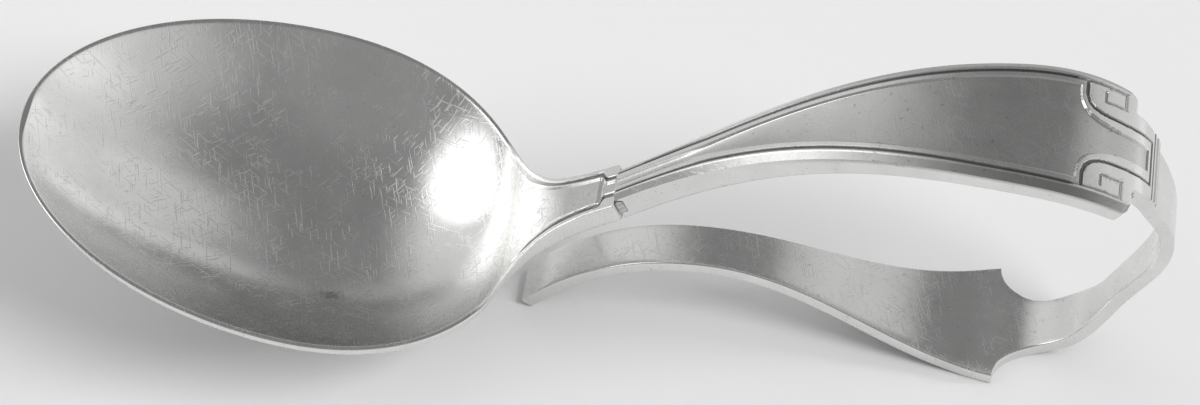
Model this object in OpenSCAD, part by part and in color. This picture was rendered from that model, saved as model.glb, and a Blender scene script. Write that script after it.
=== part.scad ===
// Baby spoon with a bent-back loop handle, shown as it rests on its loop.
// X runs along the spoon from the bowl to the loop, Y across it and Z up from the table.
// Lengths are measured from the stepped shoulder, where the bowl's shank meets the handle.

/* [Bowl] */
// Length from the tip of the bowl to its widest place
bowl_front = 23.05; // [18:0.05:28]
// Length from the widest place to the heel, where the outline is steepest
bowl_back = 15.9; // [12:0.1:20]
// Width of the bowl over its rim
bowl_w = 31.3; // [26:0.1:36]
// Depth of the bowl below its rim
bowl_depth = 8.6; // [6:0.1:9.5]
// Thickness of the metal under the bowl
bowl_gauge = 1; // [0.7:0.05:1.4]
// Thickness of the metal at the rim
rim_gauge = 0.8; // [0.5:0.05:1.2]
// Flat land around the rim
rim_land = 0.4; // [0.2:0.05:0.6]
// Fall of the rim from the tip towards the heel, in degrees
bowl_pitch = 15; // [12:0.5:18]
// Height of the rim at the heel above the table
heel_z = 8.05; // [7.5:0.05:10]

/* [Shank] */
// Length from the heel of the bowl to the neck
heel_run = 5.2; // [4:0.1:7]
// Length from the neck to the stepped shoulder
shank_len = 4.4; // [3.4:0.1:6]
// Width of the outline at the heel
heel_w = 14.5; // [12:0.1:17]
// Width of the shank at the neck
neck_w = 5; // [4.4:0.1:6]
// Width of the shank at the shoulder
shank_w = 4.3; // [4:0.1:5]
// Thickness of the shank
shank_gauge = 1.95; // [1.6:0.05:2.6]
// Rise of the shank at the shoulder, in degrees
shank_rise = 30; // [26:0.5:34]
// Lean of the joint between the shank and the handle, in degrees
joint_lean = 18; // [0:1:26]
// Height of the shank's end above the table
shoulder_z = 15.5; // [14.5:0.05:16.5]

/* [Handle] */
// Height of the handle's thread above the shank's end
handle_step = 0.3; // [0.1:0.05:0.4]
// Rise of the handle at the shoulder, in degrees
handle_rise = 37.5; // [34:0.5:42]
// Length from the shoulder to the top of the arch
arch_x = 28.5; // [26:0.1:32]
// Height of the arch above the table
arch_z = 28.3; // [25:0.1:31]
// Width of the handle just past the shoulder
waist_w = 3.1; // [2.8:0.1:3.6]
// Greatest width of the handle, near its tip
tip_w = 11.9; // [10:0.1:14]
// Width that the tip loses at its outer corners
tip_taper = 0.4; // [0:0.05:1]
// Length from the shoulder to the widest place of the handle
swell_x = 36.5; // [33:0.1:38]
// Thickness of the handle at the shoulder
handle_gauge = 2.65; // [2.2:0.05:3]
// Thickness of the handle at its tip
tip_gauge = 1.85; // [1.5:0.05:2.2]
// Length from the top of the arch to the ends of the two lobes
lobe_run = 11.85; // [10:0.05:13]
// Fall from the top of the arch to the ends of the two lobes
lobe_fall = 2.9; // [2:0.1:4]
// Slope of the handle at the ends of the lobes, in degrees
lobe_slope = 35; // [28:0.5:42]

/* [Struck border] */
// Width of the bevel along the handle's outer edge
bevel_w = 0.58; // [0.4:0.02:0.7]
// Depth of the bevel
bevel_depth = 0.38; // [0.2:0.02:0.5]
// Width of the raised thread beside the bevel
thread_w = 0.14; // [0.1:0.02:0.2]
// Width of the groove floor beside the thread
groove_w = 0.2; // [0.14:0.02:0.26]
// Depth of the grooves
groove_depth = 0.2; // [0.1:0.02:0.3]
// Width of the bead inside the groove
bead_w = 0.3; // [0.2:0.02:0.4]
// Depth of the panel inside the border
panel_depth = 0.16; // [0.08:0.02:0.24]
// Extra depth in the middle of the panel
panel_dish = 0.1; // [0:0.02:0.2]
// Width of the raised square in the middle of each key corner
key_pad = 0.76; // [0.5:0.02:0.9]
// Length from the ends of the lobes back to the middle of the key squares
key_back = 1.8; // [1.6:0.05:2.2]
// Length of a key square for each millimetre of its width
key_stretch = 1.14; // [1:0.02:1.2]
// Half width of the plain strip that runs from the panel into the tongue
strip_half = 1.2; // [1:0.05:1.4]
// Width of the raised bead beside that strip
strip_bead = 0.65; // [0.5:0.05:0.75]

/* [Tongue and loop] */
// Width of the tongue between the lobes
tongue_w = 7.3; // [6.5:0.1:8]
// Width of the tongue at its end
tongue_end_w = 6; // [5.4:0.1:6.6]
// Reach of the tongue past the lobes along X
tongue_run = 2.15; // [1.8:0.05:2.6]
// Fall of the tongue past the lobes
tongue_fall = 2.75; // [2.2:0.05:3.2]
// Slope of the tongue's end, in degrees
tongue_slope = 62; // [56:0.5:68]
// Thickness of the tongue over the strap
tongue_gauge = 0.5; // [0.4:0.05:0.7]
// Thickness of the strap
strap_gauge = 1.15; // [0.9:0.05:1.4]
// Reach of the loop past the shoulder
loop_reach = 44.1; // [43.7:0.1:46]
// Height of the loop's outermost place above the table
loop_mid_z = 16; // [14:0.1:18]
// Width of the strap at the loop's outermost place
bend_w = 4.2; // [3.6:0.1:5]
// Narrowest width of the strap, below the bend
strap_min_w = 2.95; // [2.5:0.05:3.6]
// Distance from the shoulder to the narrowest place
narrow_x = 40.4; // [39:0.1:42]
// Height of the narrowest place
narrow_z = 6.4; // [5.5:0.1:7.5]
// Distance from the shoulder to the pointed corners of the flare
flare_x = 30.7; // [29:0.1:33]
// Width of the flare over its corners
flare_w = 10.8; // [9:0.1:12]
// Length of the hollow fillet in front of each corner
flare_fillet = 4.6; // [3.8:0.1:5.4]
// Length of the flat place that the flare rests on
rest_len = 2.6; // [2:0.1:3.4]
// Distance from the shoulder to the top of the strap's low arch
saddle_x = 6.2; // [4:0.1:9]
// Height of the underside of that arch above the table
saddle_z = 7.1; // [6:0.1:7.8]
// Width of the strap over the arch
saddle_w = 4; // [3.4:0.1:4.8]
// Distance from the shoulder back to the tail's end
tail_back = 7.6; // [6.4:0.1:8.8]
// Width of the tail's end
tail_w = 3.8; // [3.2:0.1:4.4]
// Slope of the tail's end, in degrees
tail_slope = 48; // [40:1:56]

/* [Solder] */
// Length of the solder fillets in the corners of the shoulder
shoulder_fillet = 0.6; // [0.3:0.05:0.9]
// Length of the solder fillets in the corners of the tip
tip_fillet = 0.6; // [0.3:0.05:0.9]
// Gap left between a fillet and the metal beside it
solder_gap = 0.03; // [0.02:0.01:0.05]

/* [Hidden] */

// How far the handles of a curve reach, as a share of its chord: near an arc's own value
reach = 0.37;
// The step shifts the handle's start back, so that its end face lies in the joint's own plane
shoulder = [-handle_step * tan(joint_lean), shoulder_z + handle_step, handle_rise];
arch = [arch_x, arch_z, 0];
lobe_end = [arch_x + lobe_run, arch_z - lobe_fall, -lobe_slope];
tongue_end = [lobe_end[0] + tongue_run, lobe_end[1] - tongue_fall, -tongue_slope];

heel_x = -heel_run - shank_len;
widest_x = heel_x - bowl_back;

// ---- curves ----

function mix(a, b, t) = a + (b - a) * t;
function smooth(t) = let (u = max(0, min(1, t))) u * u * (3 - 2 * u);
function smooth_max(a, b, r) = (a + b + sqrt(pow(a - b, 2) + r * r)) / 2;

// Place and heading on the smooth curve between two stations, each [x, height, heading]
function curve(p, q, t) =
    let (
        a = [p[0], p[1]],
        d = [q[0], q[1]],
        c = reach * norm(d - a),
        b = a + c * [cos(p[2]), sin(p[2])],
        e = d - c * [cos(q[2]), sin(q[2])],
        s = 1 - t,
        at = s * s * s * a + 3 * s * s * t * b + 3 * s * t * t * e + t * t * t * d,
        way = s * s * (b - a) + 2 * s * t * (e - b) + t * t * (d - e)
    ) [at[0], at[1], atan2(way[1], way[0])];

// The same curve moved sideways, to the inner side of the loop
function inset_curve(p, q, t, d) =
    let (c = curve(p, q, t)) [c[0] + d * sin(c[2]), c[1] - d * cos(c[2]), c[2]];

// A point of a section, by its depth below the section's place
function at_depth(c, lean, y, depth) = [c[0] + depth * sin(lean), y, c[1] - depth * cos(lean)];

// Straight-line reading of a list of [place, value] pairs
function read_at(pairs, x) =
    x <= pairs[0][0] ? pairs[0][1] :
    x >= pairs[len(pairs) - 1][0] ? pairs[len(pairs) - 1][1] :
    [for (i = [1:len(pairs) - 1])
        if (x > pairs[i - 1][0] && x <= pairs[i][0])
            mix(pairs[i - 1][1], pairs[i][1], (x - pairs[i - 1][0]) / (pairs[i][0] - pairs[i - 1][0]))][0];

// A closed skin over rings that all have the same number of points
module loft(rings) {
    n = len(rings[0]);
    rows = len(rings);
    points = [for (ring = rings) each ring];
    sides = [
        for (i = [0:rows - 2], j = [0:n - 1])
            let (k = (j + 1) % n, a = i * n + j, b = i * n + k, c = a + n, d = b + n)
                each [[a, b, c], [b, d, c]]
    ];
    polyhedron(
        points = points,
        faces = concat(sides, [[for (j = [n - 1:-1:0]) j], [for (j = [0:n - 1]) (rows - 1) * n + j]])
    );
}

// ---- struck border ----

slope_w = 0.1;
thread_e = bevel_w + thread_w;
groove_e = thread_e + slope_w;
bead_e = groove_e + groove_w + slope_w;
border_w = bead_e + bead_w + 1.5 * slope_w;
// Struck border, as [distance in from the edge, depth below the thread]
border = [
    [0, bevel_depth],
    [bevel_w, 0.02],
    [thread_e, 0],
    [groove_e, groove_depth],
    [groove_e + groove_w, groove_depth],
    [bead_e, 0.02],
    [bead_e + bead_w, 0.02],
    [border_w, panel_depth]
];
// A key square: a pad, a groove round it and a thread round that, by distance from its middle
key_e = bead_e + key_pad / 2;
key_groove = key_pad / 2 + slope_w;
key_thread = key_groove + groove_w + slope_w;
key_half = key_thread + thread_w;
key_steps = [key_pad / 2, key_groove, key_groove + groove_w, key_thread, key_half];
key_lines = [
    [key_pad / 2, 0.02],
    [key_groove, groove_depth],
    [key_groove + groove_w, groove_depth],
    [key_thread, 0],
    [key_half, 0]
];
// Where the border turns in across the handle and closes the panel
turn = key_back + key_half * key_stretch + 0.45;
turn_lines = [
    [turn, 0.02],
    [turn + slope_w, groove_depth],
    [turn + slope_w + groove_w, groove_depth],
    [turn + 2 * slope_w + groove_w, 0.02],
    [turn + 2 * slope_w + groove_w + bead_w, 0.02],
    [turn + 3.5 * slope_w + groove_w + bead_w, panel_depth]
];
panel_end = turn_lines[5][0];
end_land = 0.3;

lobe_w = (tip_w - tip_taper) / 2;
// Distances in from the edge of all the columns of the skin, for the widest section
bead_half = strip_half + slope_w + strip_bead;
strip_groove = bead_half + slope_w;
strip_wall = strip_groove + groove_w + slope_w;
column_e = concat(
    [for (b = border) b[0]],
    [for (k = [0:4]) key_e + key_steps[k]],
    [for (y = [strip_wall, strip_wall - slope_w, strip_groove, bead_half, strip_half + slope_w, strip_half,
        strip_half / 2, 0]) lobe_w - y]
);

// Places of the columns across a section of half width w. The border keeps its width where
// there is room, and the columns inside it spread out evenly where the handle is narrow.
border_columns = len(border);
middle_w = 0.4;
function handle_columns(w) =
    let (
        squeeze = min(1, (w - middle_w) / border_w),
        inner = w - squeeze * border_w,
        wide = smooth((w - waist_w / 2) / (lobe_w - waist_w / 2)),
        last = len(column_e) - 1
    ) [for (j = [0:last])
        j < border_columns ? w - squeeze * column_e[j]
            : inner * mix((last - j) / (last + 1 - border_columns),
                (lobe_w - column_e[j]) / (lobe_w - border_w), wide)];

// ---- bowl and shank ----

// Half of the outline seen from above, as [x, half width] from the tip to the shoulder
nose_steps = 13;
nose = [
    for (i = [1:nose_steps])
        let (a = 90 * pow(i / nose_steps, 1.15)) [widest_x - bowl_front * cos(a), bowl_w / 2 * sin(a)]
];
plan_widest = [widest_x, bowl_w / 2, 0];
plan_heel = [heel_x, heel_w / 2, -60];
plan_neck = [-shank_len, neck_w / 2, -12];
nub = 0.12;
plan_nub = [-3 * nub, shank_w / 2, 0];
outline = concat(
    nose,
    [for (i = [1:8]) curve(plan_widest, plan_heel, i / 8)],
    [for (i = [1:7]) curve(plan_heel, plan_neck, i / 7)],
    [for (i = [1:4]) curve(plan_neck, plan_nub, i / 4)],
    [[-nub, shank_w / 2 - nub / 2], [0, shank_w / 2 - 2 * nub]]
);

// Moves the origin from under the shoulder to under the middle of the whole spoon
centre_shift = (-outline[0][0] - loop_reach) / 2;

// Height of the rim and of the shank's top: two slopes that blend at the heel
heel_blend = 0.7;
shank_curl = 0.0145;
function rim_z(x) =
    smooth_max(
        heel_z - tan(bowl_pitch) * (x - heel_x),
        shoulder_z + tan(shank_rise) * x - shank_curl * x * x,
        heel_blend * smooth(-x / shank_len)
    );

// Share of the shank's own section at x, from 0 in the bowl to 1 at the neck
function shank_share(x) = smooth((x - heel_x + 1) / (heel_run + 1));
function dish_depth(w) = bowl_depth * pow(2 * w / bowl_w, 1.7) - bowl_depth * pow(shank_w / bowl_w, 1.7);
function dish_at(w, y) = max(0, dish_depth(w)) * (1 - pow(min(1, abs(y) / max(0.1, w - rim_land)), 2.3));

// Struck lines on the shank, as [distance in from the edge, depth]
shank_edge = 0.14;
shank_lines = [
    [0, shank_edge],
    [shank_edge, 0],
    [rim_land, 0],
    [rim_land + 0.08, groove_depth],
    [rim_land + 0.08 + groove_w, groove_depth],
    [rim_land + 0.16 + groove_w, 0]
];
shank_field = rim_land + 0.3 + groove_w;
// The cross line that closes the shank's panel
cross_x = -1.4;
function cross_cut(x) = abs(x - cross_x) < 0.2 ? groove_depth : 0;
// Past the cross line the groove steps inward, to where the handle's own groove begins
step_len = 0.5;
function step_share(x) = smooth((x - cross_x) / step_len);
first_half = handle_columns(waist_w / 2);
step_lines = concat([0, shank_edge], [for (j = [2:5]) shank_w / 2 - first_half[j]]);

// Half of a section's columns, from the edge inward, as [y, struck depth]
function bowl_columns(x, w) =
    let (
        squeeze = min(1, w / (shank_field + 0.1)),
        step = step_share(x),
        wide = smooth((w - shank_w / 2) / 6),
        inner = squeeze * mix(shank_field, step_lines[5] + 0.1, step)
    ) concat(
        [for (k = [0:len(shank_lines) - 1])
            [w - squeeze * mix(shank_lines[k][0], step_lines[k], step), shank_lines[k][1]]],
        [for (i = [8:-1:0]) [(w - inner) * mix(i / 8, sin(90 * i / 8), wide), cross_cut(x)]]
    );

function bowl_ring(p) =
    let (
        x = p[0],
        w = p[1],
        share = shank_share(x),
        lean = joint_lean * smooth(1 + x / shank_len),
        c = [x, rim_z(x)],
        full = shank_gauge / cos(shank_rise - lean),
        thick = mix(bowl_gauge, full, share),
        rim = mix(rim_gauge, full, share),
        columns = bowl_columns(x, w),
        n = len(columns) - 1,
        deep = [for (k = [0:n]) dish_at(w, columns[k][0]) + (k < 2 ? 1 : share) * columns[k][1]]
    ) concat(
        [for (k = [0:n]) at_depth(c, lean, -columns[k][0], deep[k])],
        [for (k = [n - 1:-1:0]) at_depth(c, lean, columns[k][0], deep[k])],
        [for (i = [8:-1:-8])
            let (
                y = w * sin(90 * i / 8),
                corner = abs(i) == 8 ? shank_edge : 0
            ) at_depth(c, lean, y, dish_at(w, y) + mix(thick, rim, pow(abs(y) / w, 4)) - corner)]
    );

// Rows of the skin: the outline's points, and two pairs that cut the cross line
bowl_rows = [
    for (i = [0:len(outline) - 1])
        each concat(
            i > 0 && outline[i][0] > cross_x && outline[i - 1][0] < cross_x
                ? [for (d = [-0.3, -0.19, 0.19, 0.3, step_len])
                    [cross_x + d, mix(outline[i - 1][1], outline[i][1],
                        (cross_x + d - outline[i - 1][0]) / (outline[i][0] - outline[i - 1][0]))]]
                : [],
            [[outline[i][0], outline[i][1]]]
        )
];

module bowl() {
    color("silver") loft([for (p = bowl_rows) bowl_ring(p)]);
}

// ---- handle ----

function panel_at(u) = panel_depth + panel_dish * (1 - u * u);
function key_at(back, e) =
    let (q = max(abs(back - key_back) / key_stretch, abs(e - key_e)))
        q > key_half ? 0 : read_at(key_lines, q);
// Depth of the strip and of the bead and groove beside it, by distance from the middle
strip_lines = [
    [strip_half, panel_depth],
    [strip_half + slope_w, 0.02],
    [bead_half, 0.02],
    [strip_groove, groove_depth],
    [strip_groove + groove_w, groove_depth],
    [strip_wall, 0.02]
];
// Depth below the thread at column j, a distance back from the ends of the lobes
function struck(back, j) =
    let (
        e = column_e[j],
        y = lobe_w - e,
        outer = e < bead_e - slope_w / 2,
        inner = y < bead_half + slope_w / 2
    )
    back >= panel_end ?
        (e <= border_w ? read_at(border, e) : panel_at(max(0, 1 - (e - border_w) / (lobe_w - border_w))))
    : back > turn + slope_w / 2 ?
        (outer ? read_at(border, e)
            : !inner ? read_at(turn_lines, back)
            : y <= strip_half || back >= turn_lines[5][0] ? panel_depth
            : back > turn_lines[4][0] + slope_w / 2 ? panel_depth : read_at(strip_lines, y))
    : y < strip_wall + slope_w / 2 ? read_at(strip_lines, y)
    : back < end_land - 0.01 ? (e < bevel_w ? bevel_depth : 0.02)
    : outer ? read_at(border, e) : key_at(back, e);

function handle_half(x) =
    mix(waist_w / 2, tip_w / 2, smooth(x / swell_x))
    - tip_taper / 2 * pow(max(0, (x - swell_x) / (lobe_end[0] - swell_x)), 2);

// The handle keeps its thickness for a while and then thins towards the arch
thin_from = 7;
thin_run = 26;
// Rounding of the lobes' outer corners, seen from above
corner_r = 0.55;
function corner_loss(back) =
    let (u = max(0, 1 - back / corner_r)) corner_r * (1 - sqrt(1 - u * u));

// Rows along the handle: place and heading, half width, thickness, distance back from the lobes
arch_rows = 17;
tip_run = norm([lobe_end[0] - arch_x, lobe_end[1] - arch_z]);
tip_backs = concat(
    [for (b = [0.86, 0.7, 0.56, 0.46]) b * tip_run],
    [for (i = [5:-1:0]) turn_lines[i][0]],
    [for (k = [4:-1:0]) key_back + key_stretch * key_steps[k]],
    [for (k = [0:4]) key_back - key_stretch * key_steps[k]],
    [end_land, end_land / 3, 0]
);
handle_rows = concat(
    [for (i = [0:arch_rows]) [curve(shoulder, arch, i / arch_rows), tip_run + 1]],
    [for (b = tip_backs) [curve(arch, lobe_end, 1 - b / tip_run), b]]
);

bottom_round = 0.2;
function handle_ring(row) =
    let (
        c = row[0],
        loss = corner_loss(row[1]),
        w = handle_half(c[0]) - loss,
        lean = mix(joint_lean, c[2], min(1, c[0] / 6)),
        thick = mix(handle_gauge, tip_gauge, smooth((c[0] - thin_from) / thin_run)) / cos(c[2] - lean),
        columns = handle_columns(w + loss),
        n = len(columns) - 1,
        half = [for (j = [0:n]) columns[j] - loss * max(0, 1 - column_e[j] / border_w)]
    ) concat(
        [for (j = [0:n]) at_depth(c, lean, -half[j], struck(row[1], j))],
        [for (j = [n - 1:-1:0]) at_depth(c, lean, half[j], struck(row[1], j))],
        [at_depth(c, lean, w, thick - bottom_round)],
        [for (s = [1, 0, -1]) at_depth(c, lean, s * (w - bottom_round), thick)],
        [at_depth(c, lean, -w, thick - bottom_round)]
    );

// The tongue carries the strip on between the lobes and ends in two raised bands
tongue_sink = 0.06;
band_w = 0.26;
tongue_len = norm([tongue_run, tongue_fall]);
tongue_marks = [
    [0, 0], [0.6, 0],
    [tongue_len - 4.6 * band_w, 0], [tongue_len - 4.4 * band_w, 1], [tongue_len - 3.4 * band_w, 1],
    [tongue_len - 3.1 * band_w, 0], [tongue_len - 2.3 * band_w, 0],
    [tongue_len - 2 * band_w, 1], [tongue_len - band_w, 1],
    [tongue_len - 0.7 * band_w, 0.4], [tongue_len, 0.4]
];
function tongue_half(t) = mix(tongue_w, tongue_end_w, t) / 2;
// The columns that are wider than the tongue run down its side, which is a little rounded
side_round = 0.06;
side_columns = len([for (e = column_e) if (lobe_w - e > tongue_w / 2) e]);
function tongue_ring(mark) =
    let (
        t = mark[0] / tongue_len,
        c = curve(lobe_end, tongue_end, t),
        w = tongue_half(t),
        top = tongue_sink + 0.02,
        n = len(column_e) - 1,
        half = [for (j = [0:n])
            let (y = lobe_w - column_e[j])
                j < side_columns ? w - side_round * (1 - sin(180 * j / (side_columns - 1)))
                : y <= strip_wall ? y
                : mix(strip_wall, w - 2 * side_round, (y - strip_wall) / (tongue_w / 2 - strip_wall))],
        deep = [for (j = [0:n])
            let (y = lobe_w - column_e[j])
                j < side_columns ? mix(0.9 * tongue_gauge, top, j / (side_columns - 1))
                : tongue_sink + mix(read_at(strip_lines, y), 0, mark[1])]
    ) concat(
        [for (j = [0:n]) at_depth(c, c[2], -half[j], deep[j])],
        [for (j = [n - 1:-1:0]) at_depth(c, c[2], half[j], deep[j])],
        [for (s = [1, 0.9, 0, -0.9, -1]) at_depth(c, c[2], s * (w - side_round), tongue_gauge)]
    );

module handle() {
    color("silver")
        loft(concat([for (r = handle_rows) handle_ring(r)], [for (m = tongue_marks) tongue_ring(m)]));
}

// ---- loop strap ----

strap_edge = 0.12;
apex = [loop_reach, loop_mid_z, -90];
narrow = [narrow_x, narrow_z, -115];
rest_far = [flare_x + 0.6 * rest_len, 0, -180];
rest_near = [flare_x - 0.4 * rest_len, 0, -180];
saddle = [saddle_x, saddle_z, -180];
tail = [-tail_back, 0, tail_slope - 180];
strap_from = inset_curve(lobe_end, tongue_end, 1, tongue_gauge);

// Rows along the strap's outer face, each with its half width
lap_rows = [for (m = tongue_marks)
    [inset_curve(lobe_end, tongue_end, m[0] / tongue_len, tongue_gauge), tongue_half(m[0] / tongue_len)]];
bend_rows = [for (i = [1:9])
    let (t = i / 9) [curve(strap_from, apex, t), mix(tongue_end_w, bend_w, smooth(t)) / 2]];
drop_rows = [for (i = [1:7])
    let (t = i / 7) [curve(apex, narrow, t), mix(bend_w, strap_min_w, sin(90 * t)) / 2]];
// Half width of the hollow fillet, which ends in the flare's corner
function fillet_half(x) =
    let (u = max(0, min(1, (flare_x + flare_fillet - x) / flare_fillet)))
        mix(strap_min_w * 1.5, flare_w, 1 - sqrt(1 - u * u)) / 2;
heel_rows = [for (i = [1:14])
    let (
        t = i / 14,
        c = curve(narrow, rest_far, t)
    ) [c, c[0] > flare_x + flare_fillet
        ? mix(strap_min_w, strap_min_w * 1.5, smooth(t / 0.55)) / 2 : fillet_half(c[0])]];
corner_rows = [for (u = [0.35, 0.62, 0.82, 0.94, 1])
    let (x = mix(rest_far[0], flare_x, u)) [[x, 0, -180], fillet_half(x)]];
flare_rows = concat(
    [[rest_near, flare_side(0.03)]],
    [for (i = [1:15]) let (t = i / 15) [curve(rest_near, saddle, t), flare_side(0.03 + 0.97 * t)]]
);
function flare_side(t) = mix(saddle_w, flare_w, pow(1 - t, 1.9)) / 2;
tail_rows = [for (i = [1:10])
    let (t = i / 10) [curve(saddle, tail, t), mix(saddle_w, tail_w, t) / 2]];

function strap_ring(row) =
    let (c = row[0], w = row[1], g = strap_gauge, k = strap_edge) [
        at_depth(c, c[2], k - w, 0), at_depth(c, c[2], w - k, 0),
        at_depth(c, c[2], w, k), at_depth(c, c[2], w, g - k),
        at_depth(c, c[2], w - k, g), at_depth(c, c[2], k - w, g),
        at_depth(c, c[2], -w, g - k), at_depth(c, c[2], -w, k)
    ];

module loop_strap() {
    rows = concat(lap_rows, bend_rows, drop_rows, heel_rows, corner_rows, flare_rows, tail_rows);
    color("silver") loft([for (r = rows) strap_ring(r)]);
}

// ---- solder ----

// A hollow fillet in a square corner, drawn with the corner at the origin
module fillet_plan(run, rise) {
    polygon(concat([[0, 0]], [for (a = [0:15:90]) [run * (1 - sin(a)), rise * (1 - cos(a))]]));
}

module both_sides() {
    children();
    mirror([0, 1, 0]) children();
}

// Fills the corner where the shank's end stands proud of the handle's side
module shoulder_solder() {
    run = shoulder_fillet;
    rise = (shank_w - waist_w) / 2 - 3 * nub;
    side = handle_half(run) + solder_gap;
    color("gainsboro") both_sides()
        translate([0, 0, shoulder_z]) rotate([0, -joint_lean, 0])
            translate([solder_gap, side, -0.8 * shank_gauge])
                linear_extrude(0.7 * shank_gauge) fillet_plan(run, rise);
}

// Fills the corners where the strap leaves the ends of the lobes
module tip_solder() {
    color("gainsboro") both_sides()
        translate([lobe_end[0], 0, lobe_end[1]]) rotate([0, lobe_slope, 0])
            translate([solder_gap, tongue_w / 2 + solder_gap, -tip_gauge + bottom_round])
                linear_extrude(tip_gauge - bottom_round - tongue_gauge)
                    fillet_plan(tip_fillet, 0.8 * tip_fillet);
}

module place() {
    translate([centre_shift, 0, 0]) children();
}

place() bowl();
place() handle();
place() loop_strap();
place() shoulder_solder();
place() tip_solder();
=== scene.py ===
"""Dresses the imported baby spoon: the bowl and shank, the die-struck handle and the loop strap in
old silver, the solder in its corners, and a pale studio floor with soft light."""
import math

import bmesh
import bpy
import numpy as np
from mathutils import Matrix, Vector


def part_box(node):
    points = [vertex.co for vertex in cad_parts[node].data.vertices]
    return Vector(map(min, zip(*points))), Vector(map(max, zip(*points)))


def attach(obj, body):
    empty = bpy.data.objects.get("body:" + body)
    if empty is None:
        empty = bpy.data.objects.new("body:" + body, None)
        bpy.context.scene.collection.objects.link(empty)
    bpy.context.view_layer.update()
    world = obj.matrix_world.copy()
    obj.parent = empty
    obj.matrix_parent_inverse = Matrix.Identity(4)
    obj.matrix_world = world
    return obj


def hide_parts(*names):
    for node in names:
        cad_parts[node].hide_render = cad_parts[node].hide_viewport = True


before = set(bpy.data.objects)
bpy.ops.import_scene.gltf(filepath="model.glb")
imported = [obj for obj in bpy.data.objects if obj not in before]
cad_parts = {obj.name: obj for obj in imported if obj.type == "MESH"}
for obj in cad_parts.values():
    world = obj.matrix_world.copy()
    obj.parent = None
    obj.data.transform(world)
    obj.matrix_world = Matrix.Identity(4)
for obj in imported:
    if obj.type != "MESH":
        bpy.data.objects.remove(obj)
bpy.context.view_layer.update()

bl_info = {
    "name": "Baby spoon",
    "version": (1, 0, 0),
    "blender": (4, 5, 0),
    "location": "3D View > Sidebar > Spoon",
    "description": "Builds the looks of a baby spoon with a bent-back loop handle",
    "category": "Object",
}

MM = 0.001

# ---- sizes shared with the CAD, in millimetres, measured from under the shoulder ----

BOWL_WIDTH, BOWL_DEPTH, BOWL_PITCH = 31.3, 8.6, 15.0
HEEL_X, HEEL_Z, HEEL_WIDTH = -9.6, 8.05, 14.5
WIDEST_X = HEEL_X - 15.9
SHANK_LENGTH, NECK_WIDTH, SHANK_WIDTH, SHANK_GAUGE = 4.4, 5.0, 4.3, 1.95
SHANK_RISE, SHANK_BEND, JOINT_LEAN = 30.0, 0.0145, 18.0
SHOULDER_Z, SHOULDER_STEP = 15.5, 0.3
BOWL_GAUGE, RIM_GAUGE, RIM_LAND = 1.0, 0.8, 0.4
WAIST_WIDTH, TIP_WIDTH, TIP_TAPER, SWELL_X = 3.1, 11.9, 0.4, 36.5
HANDLE_GAUGE, TIP_GAUGE = 2.65, 1.85
TONGUE_WIDTH, TONGUE_END_WIDTH, TONGUE_GAUGE = 7.3, 6.0, 0.5
STRAP_GAUGE = 1.15
BEVEL_DEPTH, GROOVE_DEPTH, PANEL_DEPTH, PANEL_DISH = 0.38, 0.2, 0.16, 0.1
CROSS_X = -1.4

# Stations of the loop: place, height and heading in degrees
SHOULDER = (-SHOULDER_STEP * math.tan(math.radians(JOINT_LEAN)), SHOULDER_Z + SHOULDER_STEP, 37.5)
ARCH = (28.5, 28.3, 0.0)
LOBE_END = (40.35, 25.4, -35.0)
TONGUE_END = (42.5, 22.65, -62.0)
APEX = (44.1, 16.0, -90.0)
NARROW = (40.4, 6.4, -115.0)
FLARE_X, FLARE_FILLET, REST_LENGTH = 30.7, 4.6, 2.6
REST_FAR = (FLARE_X + 0.6 * REST_LENGTH, 0.0, -180.0)
REST_NEAR = (FLARE_X - 0.4 * REST_LENGTH, 0.0, -180.0)
SADDLE = (6.2, 7.1, -180.0)
TAIL = (-7.6, 0.0, -132.0)
FLARE_WIDTH, STRAP_NARROW, BEND_WIDTH, SADDLE_WIDTH, TAIL_WIDTH = 10.8, 2.95, 4.2, 4.0, 3.8

# The frame puts the middle of the whole spoon at the origin: the strap's furthest place, its apex,
# tells how far the sizes above have to move.
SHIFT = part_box("loop_strap")[1][0] / MM - APEX[0]
TIP_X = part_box("bowl")[0][0] / MM - SHIFT


# ---- curves and profiles ----

def mix(a, b, t):
    return a + (b - a) * t


def smooth(t):
    """Rises from 0 to 1 as t does, level at both ends."""
    t = np.clip(t, 0.0, 1.0)
    return t * t * (3 - 2 * t)


def curve(p, q, t, reach=0.37):
    """Place and heading on the smooth curve between two stations."""
    t = np.asarray(t, float)
    a, d = np.array(p[:2]), np.array(q[:2])
    c = reach * np.linalg.norm(d - a)
    pa, qa = math.radians(p[2]), math.radians(q[2])
    b = a + c * np.array([math.cos(pa), math.sin(pa)])
    e = d - c * np.array([math.cos(qa), math.sin(qa)])
    s = 1 - t
    at, way = [], []
    for k in (0, 1):
        at.append(s ** 3 * a[k] + 3 * s * s * t * b[k] + 3 * s * t * t * e[k] + t ** 3 * d[k])
        way.append(s * s * (b - a)[k] + 2 * s * t * (e - b)[k] + t * t * (d - e)[k])
    return at[0], at[1], np.arctan2(way[1], way[0])


def station(p, q, t):
    """One place, height and heading in radians on the curve between two stations."""
    return [float(v) for v in curve(p, q, t)]


def trough(distance, half, slope):
    """1 along the floor of a groove, falling to 0 across its sloped sides."""
    return 1 - smooth((np.abs(distance) - half) / slope)


def round_over(distance, radius, drop):
    """How far a rounded edge has fallen away: drop at the edge itself, 0 from radius inward."""
    u = np.clip(1 - distance / radius, 0, 1)
    return drop * (1 - np.sqrt(1 - u * u))


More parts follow.
